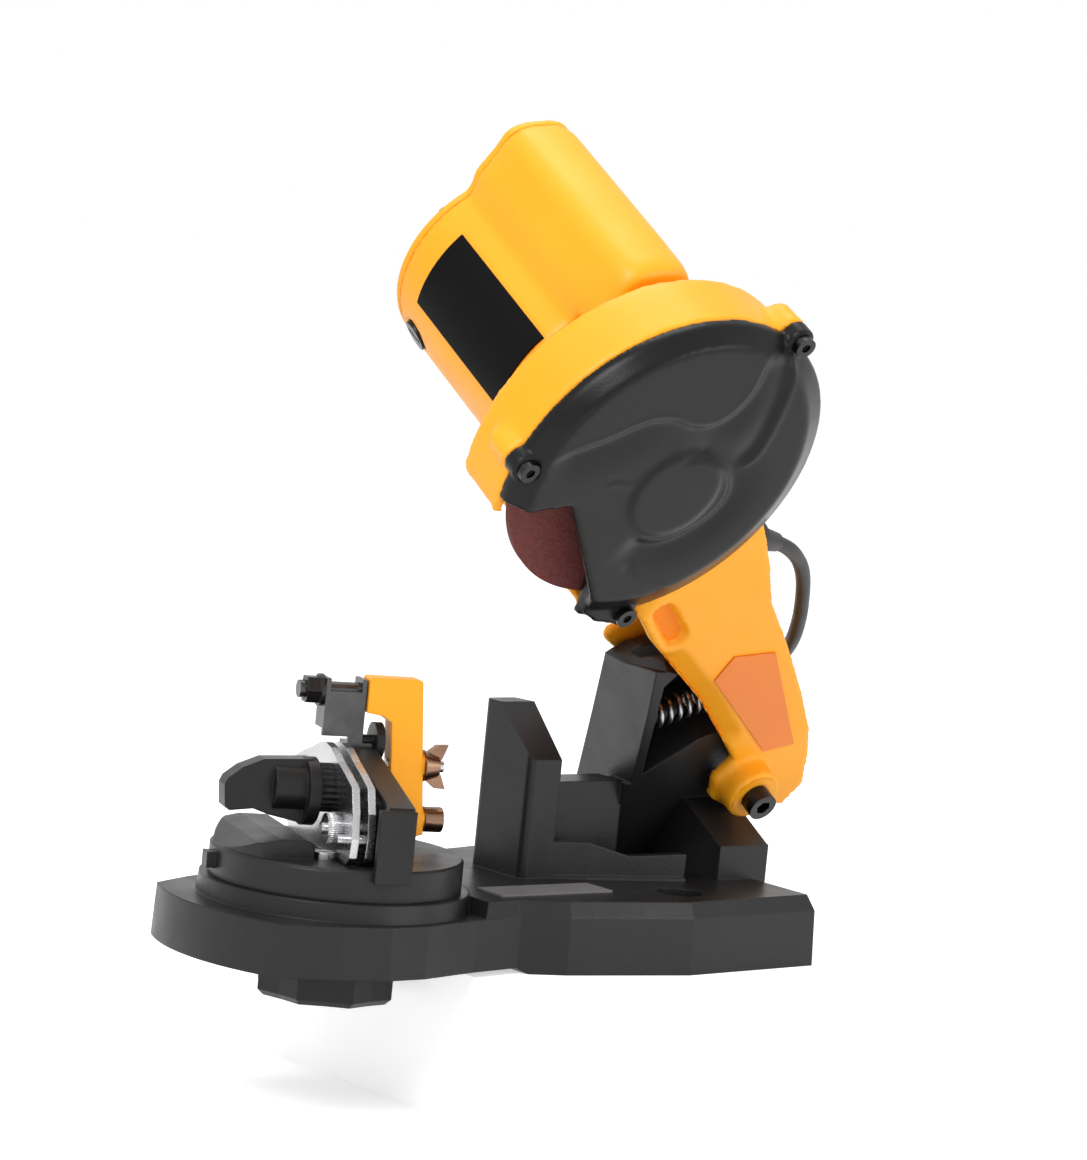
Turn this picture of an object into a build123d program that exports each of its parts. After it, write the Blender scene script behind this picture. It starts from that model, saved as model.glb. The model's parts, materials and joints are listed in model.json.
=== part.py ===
from build123d import *
import math
import os

# Bench-mounted electric chainsaw sharpener, millimetres, +Z up.
# The origin is the middle of the two bench bolts, on the plane of the bench.
# Sizes below are taken from the swivel axis of the chain vise; seat() moves each piece to the origin.

# ---- base
bolt_x = 122.0            # swivel axis to bench bolts, along X
bolt_y = 38.0             # bench bolts, each side of the middle
bolt_hole_r = 4.25        # for M8
counterbore_r = 8.2
counterbore_depth = 9.0
arris_z = 19.7            # upper edge of the base's wall
deck_z = 25.1             # flat deck of the rear half
front_lift = 2.0          # underside of the front half above the bench plane
heel_drop = 2.0           # heel that hooks over the bench's edge
wall_draft = 2.0          # degrees
shoulder_in = 2.3
rim_wide = 4.5            # foot's rim round the recesses of the underside
rib_thick = 3.0
recess_deep = 3.5
recess_front_x = 78.0
recess_rear_x = 170.0

base_side = [(-47.5, 37.0), (-29.0, 45.0), (-12.0, 50.0), (3.0, 50.0), (28.0, 44.5),
             (49.0, 41.5), (66.0, 48.0), (113.0, 58.0), (174.0, 54.0)]
nose_x = -57.0
heel = [(49.0, front_lift), (57.0, -heel_drop), (71.0, -heel_drop), (71.0, 0.0)]

# ---- swivel vise: local q across the rails (to the right), c along the rails (away from the user)
table_r = 43.0
table_low = 26.0
table_top = 36.8
pedestal_r = 45.8
stud_r = 5.0
running_gap = 0.06        # radial clearance of every shaft that turns in a bore
vise_turn = -20.0         # degrees about Z at rest
rail_thick = 2.6
rail_left = -7.4          # outer face of the moving rail
rail_gap = 2.8
rail_foot = table_top + 0.4
bracket_left = 3.0
bracket_right = 12.0
bracket_top = 70.0
tab_c = (-46.0, -43.3)
pin_spots = ((-31.0, 45.0), (27.0, 45.0))
pin_r = 2.0
clamp_c = -8.0
clamp_z = 58.7
clamp_screw_r = 3.0
clamp_stud_left = -34.0
clamp_travel = 1.4        # the clamp knob carries the moving rail this far
collar_r = 8.1
collar_left = -13.0
knob_hub_r = 11.5
adjuster_c = -24.0
adjuster_z = 47.6
adjuster_r = 4.9

# ---- chain stop
rod_c = 14.0
rod_z = 88.6
rod_r = 3.0
sheet = 1.6
upright_left = -6.2
upright_right = 8.2
lever_c = (8.0, 16.0)
lever_left = 8.8
wing_c = 12.0
wing_z = 64.4
stop_knob_z = 72.3
stop_knob_r = 6.4
stop_shaft_r = 2.0
set_screw_z = 46.0

# ---- grinding head: local x along X, local y up the tilted swing plane, local z towards the user
tilt = 32.0
pivot = (169.2, -8.6, 62.1)
wheel_x = -117.5
wheel_y = 138.5
wheel_r = 54.0
wheel_thick = 3.2
wheel_bore_r = 11.5
guard_r = 61.0
guard_wall = 3.0
guard_rear = -20.0
guard_split = 3.0
cover_front = 13.0
collar_rear = -37.0
motor_r = 37.5
motor_wall = 3.0
motor_front = -37.3
motor_rear = -111.0
cap_thick = 3.0
spindle_r = 4.0
pivot_r = 5.0
boss_r = 13.0
front_boss_r = 10.4
bolt_head_r = 5.4
bolt_socket_r = 2.9
boss_front = 14.0
arm_low = -13.0            # lowest edge of the arm's cheeks below the pivot
cheek_front = (1.0, 5.0)
cheek_rear = (-39.0, -35.5)
lug_front = -2.0
lug_rear = -33.0
bush_r = 7.5
hump_dir = 100.0          # degrees round the motor
hump_top = 59.0
brush_z = -98.0
brush_angles = (222.0, 42.0)
cap_deep = 4.5            # brush cap below the motor's skin
cap_screw_ring = motor_r - 6.3

# ---- cord
cord_r = 2.7
coil_turns_wide = 4
coil_layers = 2
coil_mid_r = 30.2
coil_x = 212.0
coil_y = 78.0


def prism(points, low, high):
    outline = make_face(Polyline(*points, close=True))
    return Pos(0, 0, low) * extrude(outline, amount=high - low)


def prismAlongY(points, low, high):
    outline = Plane.XZ * make_face(Polyline(*points, close=True))
    return Pos(0, high, 0) * extrude(outline, amount=high - low)


def prismAlongX(points, low, high):
    outline = Plane.YZ * make_face(Polyline(*points, close=True))
    return Pos(low, 0, 0) * extrude(outline, amount=high - low)


def block(x, y, z):
    return Pos(sum(x) / 2, sum(y) / 2, sum(z) / 2) * Box(x[1] - x[0], y[1] - y[0], z[1] - z[0])


def rod(radius, low, high, x=0.0, y=0.0):
    return Pos(x, y, (low + high) / 2) * Cylinder(radius, high - low)


def tube(outer, inner, low, high, x=0.0, y=0.0):
    return rod(outer, low, high, x, y) - rod(inner, low - 1, high + 1, x, y)


def rodAlongX(radius, low, high, y, z):
    return Pos((low + high) / 2, y, z) * Rot(0, 90, 0) * Cylinder(radius, high - low)


def tubeAlongX(outer, inner, low, high, y, z):
    return rodAlongX(outer, low, high, y, z) - rodAlongX(inner, low - 1, high + 1, y, z)


def rodAlongY(radius, low, high, x, z):
    return Pos(x, (low + high) / 2, z) * Rot(90, 0, 0) * Cylinder(radius, high - low)


def polar(radius, degrees):
    turn = math.radians(degrees)
    return radius * math.cos(turn), radius * math.sin(turn)


tilt_rad = math.radians(tilt)
towards_user = (0.0, -math.cos(tilt_rad), -math.sin(tilt_rad))
head_place = Plane(origin=pivot, x_dir=(1, 0, 0), z_dir=towards_user).location
vise_place = Location((0, 0, 0), (0, 0, vise_turn))
parts = {}


def keep(name, shape):
    parts[name] = shape


def headPoint(x, y, z):
    return tuple((head_place * Pos(x, y, z)).position)


# =========================== base ===========================
def baseOutline(points, nose=None):
    near = [(x, -y) for x, y in points]
    far = list(reversed(points))
    line = Polyline(*near, *far)
    if nose is None:
        closing = Line(far[-1], near[0])
    else:
        closing = ThreePointArc(far[-1], (nose, 0), near[0])
    return make_face([*line.edges(), *closing.edges()])


def baseSlab():
    low = -heel_drop
    slab = Pos(0, 0, low) * extrude(baseOutline(base_side, nose_x), amount=arris_z - low, taper=wall_draft)
    under = [(-80, -9), (-80, front_lift), *heel, (240, 0), (240, -9)]
    return slab - prismAlongY(under, -80, 80)


def drawnIn(points, distance):
    """Open line moved sideways, to the left of its direction."""
    moved = []
    for k, (x, y) in enumerate(points):
        x0, y0 = points[max(k - 1, 0)]
        x1, y1 = points[min(k + 1, len(points) - 1)]
        length = math.hypot(x1 - x0, y1 - y0)
        moved.append((x - (y1 - y0) / length * distance, y + (x1 - x0) / length * distance))
    return moved


def deck():
    draft = (arris_z + heel_drop) * math.tan(math.radians(wall_draft))
    side = [(32.0, 43.6)] + base_side[5:]
    levels = []
    for z, inset in (arris_z - 0.2, draft), (arris_z, draft), (deck_z, draft + shoulder_in):
        line = drawnIn(side, -inset)
        line[0] = (side[0][0] + inset, line[0][1])
        line[-1] = (side[-1][0] - inset, line[-1][1])
        levels.append(Pos(0, 0, z) * baseOutline(line))
    return loft(levels[1:], ruled=True) + loft(levels[:2], ruled=True)


def footRecesses():
    """Shallow squares between the ribs that the base stands on."""
    low = -heel_drop
    hollow = offset(baseOutline(base_side), amount=-rim_wide, kind=Kind.INTERSECTION)
    space = Pos(0, 0, low) * extrude(hollow, amount=recess_deep - low)
    space = space & block((recess_front_x, recess_rear_x), (-70, 70), (low, recess_deep))
    for side in (-1, 1):
        space = space - rod(bolt_hole_r + 7, low - 1, 10, bolt_x, side * bolt_y)
    for y in (-36.0, -12.0, 12.0, 36.0):
        space = space - block((recess_front_x, recess_rear_x), (y - rib_thick / 2, y + rib_thick / 2), (low - 1, 10))
    for x in (98.0, bolt_x, 146.0):
        space = space - block((x - rib_thick / 2, x + rib_thick / 2), (-70, 70), (low - 1, 10))
    return space


def sparkPost():
    post = prism([(75.0, -8.0), (88.5, -8.0), (90.0, 12.0), (88.5, 21.0), (75.0, 21.0)], deck_z - 3, 90)
    post = fillet(post.edges().filter_by(Axis.Z).sort_by(Axis.X)[0:2], 3.0)
    crown = [(-12.0, 66.0), (-8.0, 67.0), (12.0, 84.5), (40.0, 84.5), (40.0, 99.0), (-12.0, 99.0)]
    return post - prismAlongX(crown, 60, 100)


def lowWall():
    plan = [(86.0, -8.0), (101.0, -12.0), (139.0, -21.0), (139.0, -17.0), (101.5, -8.0), (86.0, -4.0)]
    foot = [(86.0, -8.0), (101.0, -13.0), (139.0, -22.0), (139.0, -17.0), (86.0, -5.0)]
    crest = [(80, 38.3), (101, 38.3), (109, 36.0), (117, 33.7), (138, 34.7), (145, 35.0), (145, 60), (80, 60)]
    return prism(plan, deck_z - 3, 45) + prism(foot, deck_z - 3, deck_z + 1.2) - prismAlongY(crest, -40, 10)


def pivotFoot():
    slope = math.tan(tilt_rad)
    front, knee, run = -22.0, 37.2, 22.5
    rise = knee + run * slope
    side = [(front, deck_z - 3), (front, knee), (front + run, rise), (20.0, rise), (20.0, deck_z - 3)]
    foot = prismAlongX(side, 154, 177)
    foot = foot - head_place * block((-60, 60), (arm_low - 1.2, 14.5), (lug_front + 0.01, boss_front + 10))
    gusset = [(125.0, deck_z - 3), (125.0, 57.0), (127.0, 58.0), (150.0, 60.0), (178.0, 48.0), (178.0, deck_z - 3)]
    plate = prismAlongY(gusset, -4, 10)
    return foot + (plate - head_place * block((-60, 60), (-60, 14.5), (lug_front + 0.01, boss_front + 10)))


def towerLug():
    """Leaning block between the arm's cheeks, extruded along the pivot's axis."""
    outline = [(-28.0, -57.0), (-46.0, 0.0), (-54.2, 25.1), (-62.0, 47.0), (-42.0, 42.0), (-25.0, 37.0), (-8.0, 30.0),
               (6.0, 20.0), (11.3, 6.5), (boss_r, 0.0), (6.8, -11.1), (6.8, -57.0)]
    lug = prism(outline, lug_rear, lug_front) + rod(boss_r, lug_rear, lug_front)
    hollow = [(-54.0, 38.0), (-41.0, -3.0), (-24.0, 13.4), (-5.0, 24.0), (15.0, 24.0), (15.0, 50.0), (-45.0, 55.0)]
    lug = head_place * (lug - prism(hollow, lug_rear + 9, lug_front + 1))
    roof = [(90, 101.5), (112.4, 101.5), (115.7, 104.5), (120, 107.5), (128, 110.0), (180, 110.0), (180, 160), (90, 160)]
    lug = lug - prismAlongY(roof, -70, 70)
    return lug & block((60, 190), (-60, 40), (deck_z - 3, 200))


spring_seat = Vector(-43.2, 14.0, -13.0)
spring_end = Vector(3.0, 33.5, -13.0)
spring_line = spring_end - spring_seat
spring_place = Plane(origin=spring_seat, z_dir=spring_line).location


def buildBase():
    body = baseSlab() + deck() + Pos(0, 0, arris_z - 1) * Cone(
        pedestal_r + 0.8, pedestal_r, table_low - arris_z + 1, align=(Align.CENTER, Align.CENTER, Align.MIN))
    body = body + sparkPost() + lowWall() + block((88, 126), (2, 16), (deck_z - 3, 57.5))
    body = body + pivotFoot() + towerLug()
    body = body - footRecesses()
    for side in (-1, 1):
        body = body - rod(bolt_hole_r, -20, 60, bolt_x, side * bolt_y)
        body = body - rod(counterbore_r, deck_z - counterbore_depth, 60, bolt_x, side * bolt_y)
    body = body - rod(stud_r + running_gap, -20, 60)
    body = body + head_place * spring_place * rod(3.5, -6.0, 14.0)
    return body - head_place * rod(pivot_r + 0.02, lug_rear - 1, lug_front + 1)


keep("base", buildBase())
keep("label_plate", block((45.5, 94.5), (-34.5, -20.5), (deck_z, deck_z + 0.8)))


# =========================== turntable and lock ===========================
hexagon = [polar(1.0, 60 * k) for k in range(6)]


def hexPrism(across_corners_r, low, high):
    return prism([(across_corners_r * x, across_corners_r * y) for x, y in hexagon], low, high)


def turntable():
    disc = rod(table_r, table_low, table_top)
    disc = chamfer(disc.edges().group_by(Axis.Z)[-1], 0.8)
    ramp_side = [(-42.7, 36.0), (-34.6, 41.7), (-27.7, 43.3), (-18.0, 43.2), (-15.5, 41.0), (-15.5, 36.0)]
    ramp = prismAlongY(ramp_side, -25, 26) & rod(table_r - 1.2, table_low, 60)
    pointer = block((-table_r - 3.0, -table_r + 4), (-3, 3), (29.0, 34.4))
    body = disc + ramp + pointer
    body = body - rod(stud_r + 0.02, table_low - 1, table_top + 1) - hexPrism(9.2, table_top - 6.5, table_top + 1)
    return body - rod(1.8, table_low + 2, table_top + 1, -11.2, -22.0)


keep("turntable", vise_place * turntable())
keep("lock_stud", vise_place * (rod(stud_r, -13.0, table_top - 6.5) + hexPrism(9.15, table_top - 6.5, table_top)))
knob_top = front_lift - 0.05


def lockKnob():
    lobes = 8
    radius = 24.5
    points = [polar(radius if k % 2 else radius - 2.4, 180 / lobes * k + 9) for k in range(2 * lobes)]
    knob = prism(points, knob_top - 15.5, knob_top - 1.6) + rod(14.0, knob_top - 1.7, knob_top)
    knob = chamfer(knob.edges().group_by(Axis.Z)[0], 2.0)
    return knob - rod(stud_r + running_gap, -40, 20)


keep("lock_knob", lockKnob())
flat_screw = rod(3.6, table_top, table_top + 2.6, -11.2, -22.0) + rod(1.78, table_low + 2, table_top, -11.2, -22.0)
flat_screw = flat_screw - block((-16, -7), (-22.5, -21.5), (table_top + 1.6, table_top + 4))
keep("turntable_screw", vise_place * flat_screw)


# =========================== chain vise ===========================
def railSide():
    near = [(-34.0, rail_foot), (-37.4, 40.0), (-38.6, 46.5), (-37.0, 54.9), (-33.3, 63.0), (-24.0, 66.2),
            (-15.4, 68.7), (-6.0, 72.0), (0.0, 72.8)]
    return near + [(-c, z) for c, z in reversed(near[:-1])]


fixed_left = rail_left + rail_thick + rail_gap


def rail(left, stud_hole, pin_hole, screw_hole):
    low, high = left - 1, left + rail_thick + 1
    plate = prismAlongX(railSide(), left, left + rail_thick)
    for c, z in pin_spots:
        plate = plate - rodAlongX(pin_hole, low, high, c, z)
    plate = plate - rodAlongX(stud_hole, low, high, clamp_c, clamp_z)
    return plate - rodAlongX(screw_hole, low, high, adjuster_c, adjuster_z)


keep("moving_rail", vise_place * rail(rail_left, clamp_screw_r + 0.3, pin_r + 0.05, 2.0 + running_gap))
keep("fixed_rail", vise_place * rail(fixed_left, clamp_screw_r + 0.02, pin_r + 0.02, 2.02))


def viseBracket():
    low = fixed_left + rail_thick
    side = [(tab_c[1], table_top), (tab_c[1], 33.2), (tab_c[0], 33.2), (tab_c[0], 57.6), (3.0, bracket_top),
            (20.0, bracket_top), (31.0, 62.0), (36.0, 54.0), (36.0, table_top)]
    body = prismAlongX(side, bracket_left, bracket_right)
    web = prismAlongX([(-34.0, table_top), (-34.0, 58.0), (0.0, 66.0), (31.0, 58.0), (34.0, table_top)],
                      low, bracket_left + 1)
    lip = block((low - 1.1, bracket_left + 1), tab_c, (33.2, 57.6))
    body = body + web + lip
    body = body - rodAlongX(clamp_screw_r + 0.02, low - 1, 9.0, clamp_c, clamp_z)
    body = body - block((low - 2, 20), (-60, tab_c[1]), (57.59, 80))
    for c, z in pin_spots:
        body = body - rodAlongX(pin_r + 0.02, low - 1, 8.0, c, z)
    return body - rodAlongX(2.02, low - 1, 8.0, adjuster_c, adjuster_z)


keep("vise_bracket", vise_place * viseBracket())
guides = [rodAlongX(pin_r, rail_left - 3.0, 8.0, c, z) for c, z in pin_spots]
keep("rail_guide_pins", vise_place * Compound(guides))


def ribbedCollar():
    right = rail_left
    body = tubeAlongX(collar_r - 0.5, clamp_screw_r + 0.2, collar_left, right, clamp_c, clamp_z)
    ribs = 22
    for k in range(ribs):
        c, z = polar(collar_r - 0.6, 360 / ribs * k)
        body = body + rodAlongX(0.75, collar_left, right, clamp_c + c, clamp_z + z)
    return body


keep("clamp_collar", vise_place * ribbedCollar())
keep("clamp_stud", vise_place * rodAlongX(clamp_screw_r, clamp_stud_left, 9.0, clamp_c, clamp_z))


def clampKnob():
    right = collar_left
    hub = rodAlongX(knob_hub_r, right - 4.0, right, clamp_c, clamp_z - 1.4)
    hub = hub + rodAlongX(8.2, right - 15.0, right, clamp_c, clamp_z)
    side = [(right - 2.0, 68.6), (-31.7, 67.9), (-39.0, 64.8), (-44.8, 60.2), (-43.9, 50.0), (-34.3, 51.1),
            (-28.9, 49.3), (right - 2.0, 46.4)]
    wing = prismAlongY(side, clamp_c - 4.0, clamp_c + 4.0)
    wing = chamfer(wing.edges().filter_by(Axis.Y).sort_by(Axis.X)[0:2], 1.5)
    body = hub + wing
    bore_end = clamp_stud_left - clamp_travel - 1.0
    return body - rodAlongX(clamp_screw_r + running_gap, bore_end, right + 1, clamp_c, clamp_z)


keep("clamp_knob", vise_place * clampKnob())
adjuster = tubeAlongX(adjuster_r, 2.02, -12.6, rail_left - 0.1, adjuster_c, adjuster_z)
keep("rail_adjuster_nut", vise_place * adjuster)
keep("rail_adjuster_screw", vise_place * rodAlongX(2.0, -14.0, 8.0, adjuster_c, adjuster_z))


# =========================== chain stop ===========================
def stopUpright():
    front, rear = 9.0, 18.5
    web_c = (front, front + sheet)
    web = block((upright_left, upright_right), web_c, (73.6, 89.0))
    web = web + block((bracket_left, upright_right), web_c, (bracket_top, 80.0))
    left = block((upright_left, upright_left + sheet), (front, rear), (76.0, 93.2))
    right = block((upright_right - sheet, upright_right), (front, rear), (bracket_top, 93.2))
    foot = block((bracket_left, bracket_right), (front, rear), (bracket_top, bracket_top + sheet))
    body = web + left + right + foot
    body = body - rodAlongX(stop_shaft_r + running_gap, 4, 12, wing_c, stop_knob_z)
    return body - rodAlongX(rod_r + 0.02, -30, 12, rod_c, rod_z)


keep("stop_upright", vise_place * stopUpright())
keep("stop_pin", vise_place * rodAlongX(rod_r, -14.6, 24.0, rod_c, rod_z))
washer = tubeAlongX(5.5, rod_r + 0.02, upright_left - 1.5, upright_left, rod_c, rod_z)
nut_left = upright_left - 6.2
nut = prismAlongX([(rod_c + 5.0 * c, rod_z + 5.0 * z) for c, z in hexagon], nut_left, upright_left - 1.5)
nut = nut - rodAlongX(rod_r + 0.02, -30, 10, rod_c, rod_z)
keep("stop_pin_nut", vise_place * (washer + nut))

lever_side = [(lever_left, 94.3), (27.6, 94.2), (29.7, 70.1), (31.6, 50.4), (32.5, 41.3), (29.8, 40.5), (27.5, 47.0),
              (20.0, 58.0), (19.1, 61.6), (17.8, 79.2), (14.5, 81.3), (lever_left, 82.2)]


def leverFace(z):
    """q of the lever's right face at height z."""
    (q0, z0), (q1, z1) = lever_side[2:4]
    return q0 + (q1 - q0) * (z - z0) / (z1 - z0)


wing_left = leverFace(wing_z) + 0.9
set_left = leverFace(set_screw_z) + 0.9


def stopLever():
    body = prismAlongY(lever_side, *lever_c)
    corner = body.edges().filter_by(Axis.Y).sort_by(Axis.Z)
    body = fillet(corner[-2:], 1.2)
    body = body + rodAlongX(4.6, wing_left - 4, wing_left, wing_c, wing_z)
    body = body + rodAlongX(3.9, set_left - 4, set_left, wing_c, set_screw_z)
    body = body & block((0, 60), lever_c, (0, 120))
    body = body - rodAlongX(rod_r + running_gap, 0, 24.2, rod_c, rod_z)
    body = body - rodAlongX(2.0 + running_gap, 10, 60, wing_c, wing_z)
    return body - rodAlongX(2.0 + running_gap, 10, 60, wing_c, set_screw_z)


keep("stop_lever", vise_place * stopLever())


def wingNut():
    left = wing_left + 0.1
    hub = Pos(left + 2.75, wing_c, wing_z) * Rot(0, 90, 0) * Cone(5.6, 3.6, 5.5)
    half = [(left + 0.8, 0.0), (left + 0.8, 4.4), (left + 4.6, 7.4), (left + 8.6, 7.6), (left + 6.8, 3.0), (left + 5.0, 0.0)]
    wings = prismAlongY([(q, wing_z + z) for q, z in half], wing_c - 1.2, wing_c + 1.2)
    wings = wings + prismAlongY([(q, wing_z - z) for q, z in half], wing_c - 1.2, wing_c + 1.2)
    return hub + wings - rodAlongX(2.02, 0, 60, wing_c, wing_z)


keep("wing_nut", vise_place * wingNut())
keep("wing_screw", vise_place * rodAlongX(2.0, 18.0, wing_left + 7.5, wing_c, wing_z))


def setScrew():
    left = set_left + 0.1
    head = rodAlongX(4.35, left, left + 6.6, wing_c, set_screw_z)
    head = head - block((left + 5.0, left + 9), (wing_c - 0.6, wing_c + 0.6), (40, 60))
    return head + rodAlongX(2.0, 26.2, left, wing_c, set_screw_z)


keep("lever_set_screw", vise_place * setScrew())
stop_knob = rodAlongX(stop_knob_r, 12.5, 15.4, wing_c, stop_knob_z)
stop_knob = stop_knob + rodAlongX(stop_shaft_r, 5.2, 12.6, wing_c, stop_knob_z)
keep("stop_knob", vise_place * stop_knob)


# =========================== grinding head ===========================
opening_front = [(-80, -14), (-58, -14), (-37, -10), (-11, -44), (-3, -55), (-3, -80), (-80, -80)]
opening_rear = [(-75, -21), (-50, -21), (-34, -34), (-20, -46), (0, -52), (0, -75), (-75, -75)]
screw_spots = [polar(guard_r + 1.65, 65.5), polar(guard_r - 0.97, 178.1), polar(guard_r - 1.33, -76.4)]
wheel_place = Pos(wheel_x, wheel_y, 0)
on_wheel = head_place * wheel_place


def coneBetween(low, low_r, high, high_r):
    return Pos(0, 0, (low + high) / 2) * Cone(low_r, high_r, high - low)


def wheelGuard():
    """Rear half of the wheel's guard with the flare and collar that hold the motor, about the wheel's axis."""
    flare_r = guard_r - 5
    body = rod(guard_r, guard_rear, guard_split)
    for x, y in screw_spots:
        body = body + rod(5.0, guard_split - 12, guard_split, x, y)
    body = body + coneBetween(-33.0, motor_r + 1, guard_rear, flare_r) + rod(motor_r + 1, collar_rear, -32.9)
    body = body - rod(guard_r - guard_wall, guard_rear + guard_wall, guard_split + 1)
    body = body - coneBetween(-33.0, motor_r - motor_wall, guard_rear - 0.01, flare_r - 4)
    body = body - rod(motor_r - motor_wall, collar_rear - 1, -32.9)
    body = body + tube(14.0, 11.02, -30.0, guard_rear + 1) + tube(11.5, 8.0, -22.9, guard_rear + 1)
    body = body - rod(8.0, -40, 10)
    for x, y in screw_spots:
        body = body - rod(1.8, guard_split - 9, guard_split + 1, x, y)
    return body - prism(opening_rear, collar_rear - 1, guard_split + 1)


arm_left = [(-96.4, 80.9), (-78.4, 64.1), (-39.7, 36.6), (-20.7, 20.0), (-9.2, 9.2), (-13.0, 0.0), (-9.2, -9.2)]
arm_right = [(12.0, arm_low), (27.4, -12.3), (31.5, -2.6), (25.6, 12.1), (18.7, 24.2), (5.2, 40.9), (-16.1, 64.3),
             (-34.0, 82.4), (-45.5, 100.2), (-58.6, 117.5)]
rear_left = [(-110.0, 103.0), (-98.0, 84.0), (-78.0, 66.0), (-45.0, 40.0), (-53.0, 39.2), (-57.5, 35.0), (-56.0, 30.7),
             (-50.0, 27.5), (-13.0, 0.0), (-9.2, -9.2)]
web_thick = 3.5


def armFrame():
    front = prism(arm_left + [(0.0, arm_low)] + arm_right + [(-96.0, 120.0)], *cheek_front)
    front = front - wheel_place * rod(guard_r - guard_wall, -50, guard_split)
    front = front - wheel_place * rod(guard_r + 0.3, guard_split - 0.1, 20)
    rear = prism(rear_left + [(0.0, arm_low)] + arm_right + [(-96.0, 125.0)], *cheek_rear)
    rear = rear - wheel_place * rod(motor_r + 0.7, -50, 0)
    bosses = rod(front_boss_r, cheek_front[0], boss_front) + rod(boss_r, cheek_rear[0] - 2, cheek_rear[1])
    skin = arm_right[1:]
    web = prism(skin + list(reversed(drawnIn(skin, web_thick))), cheek_rear[0], cheek_front[1])
    web = web - wheel_place * rod(guard_r + 0.3, guard_split - 0.1, 20)
    web = web - wheel_place * (rod(guard_r - 1, guard_rear, guard_split) + coneBetween(-33.0, motor_r, guard_rear, guard_r - 6)
                               + rod(motor_r + 0.7, -50, -33))
    body = front + rear + web + bosses
    slot = Pos(-75.0, 72.0, 2.0) * Rot(0, 0, -42) * SlotOverall(24, 8.5)
    return body - extrude(slot, amount=8)


def armHousing():
    body = armFrame() + wheel_place * wheelGuard()
    for low, high in (cheek_front[0] - 1, boss_front + 1), (cheek_rear[0] - 3, cheek_rear[1] + 1):
        body = body - rod(bush_r + 0.02, low, high)
    return body - grommet_place * (rod(4.52, -12, 12) + rod(7.0, 5.98, 20))


grommet_from = Vector(-52.0, 102.5, -8.0)
grommet_along = Vector(15.0, -4.0, -2.3).normalized()
grommet_place = Plane(origin=grommet_from, z_dir=grommet_along).location
keep("arm_housing", head_place * armHousing())


def guardCover():
    step = guard_split + 3
    rim = guard_r + 0.02
    outer = rod(rim, guard_split, step)
    outer = outer + loft([Pos(0, 0, step) * Circle(rim).face(), Pos(-3.5, 3.5, cover_front) * Circle(guard_r - 8).face()])
    for x, y in screw_spots:
        outer = outer + rod(5.0, guard_split, guard_split + 6, x, y)
    inner = rod(guard_r - guard_wall, guard_split - 1, step)
    inner = inner + loft([Pos(0, 0, step) * Circle(guard_r - guard_wall).face(),
                          Pos(-3.5, 3.5, cover_front - 2.4) * Circle(guard_r - 10.5).face()])
    boss = Pos(3, -3, cover_front + 0.4) * Cylinder(17, 1.2)
    body = outer - inner + boss - prism(opening_front, guard_split - 1, cover_front + 5)
    corner = prism([(-5.5, -46.0), (-3.0, -58.0), (4.0, -62.0), (14.0, -62.5), (18.0, -57.0), (6.0, -49.0)],
                   guard_split, guard_split + 6)
    body = body + corner
    for x, y in screw_spots:
        body = body - rod(2.0, guard_split - 1, guard_split + 12, x, y) - rod(3.8, guard_split + 6, cover_front + 3, x, y)
    return body


keep("guard_cover", on_wheel * guardCover())
cover_screws = []
for x, y in screw_spots:
    top = guard_split + 6
    cover_screws.append(rod(1.78, guard_split - 8, top, x, y) + tube(3.6, 1.6, top, top + 2.6, x, y)
                        + rod(1.7, top, top + 1.2, x, y))
keep("cover_screws", on_wheel * Compound(cover_screws))

# ---- wheel and rotor
half_wheel = wheel_thick / 2
inner_flange = tube(16.0, spindle_r + 0.02, -half_wheel - 3, -half_wheel)
inner_flange = inner_flange + tube(wheel_bore_r - 0.05, spindle_r + 0.02, -half_wheel - 0.1, half_wheel - 0.2)
fan = tube(30.0, spindle_r + 0.02, -46.0, -44.0) + tube(8.0, spindle_r + 0.02, -44.1, -38.0)
fan_blades = 9
for k in range(fan_blades):
    fan = fan + Rot(0, 0, 360 / fan_blades * k) * block((7.6, 29.0), (-0.8, 0.8), (-44.1, -38.6))
keep("grinding_wheel", on_wheel * tube(wheel_r, wheel_bore_r, -half_wheel, half_wheel))
keep("inner_flange", on_wheel * inner_flange)
keep("outer_flange", on_wheel * tube(15.0, spindle_r + 0.02, half_wheel, half_wheel + 2.2))
keep("wheel_nut", on_wheel * (hexPrism(6.6, half_wheel + 2.2, half_wheel + 6) - rod(spindle_r + 0.02, -5, 30)))
keep("spindle", on_wheel * rod(spindle_r, -107.6, half_wheel + 7))
keep("rotor_stack", on_wheel * tube(17.0, spindle_r + 0.02, -84.0, -50.0))
keep("commutator", on_wheel * tube(11.0, spindle_r + 0.02, -103.0, -93.0))
keep("cooling_fan", on_wheel * fan)


def bearing(outer, inner, low, high):
    middle = (outer + inner) / 2
    body = tube(outer, inner, low, high)
    return body - tube(middle + 1, middle - 1, low - 1, low + 0.5) - tube(middle + 1, middle - 1, high - 0.5, high + 1)


keep("front_bearing", on_wheel * bearing(11.0, spindle_r + running_gap, -30.0, -23.0))
keep("rear_bearing", on_wheel * bearing(8.0, spindle_r + running_gap, -108.0, -104.0))


def humpOutline(grow=0.0):
    """Handle above the motor, drawn with its ridge along +X."""
    half = [(20.0, 21.0), (40.0, 20.5), (48.0, 16.0), (hump_top - 4, 13.5), (hump_top - 1, 9.5), (hump_top, 5.0)]
    half = [(x + grow, y + grow) if x > 30 else (x, y + grow) for x, y in half]
    return half + [(x, -y) for x, y in reversed(half)]


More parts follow.
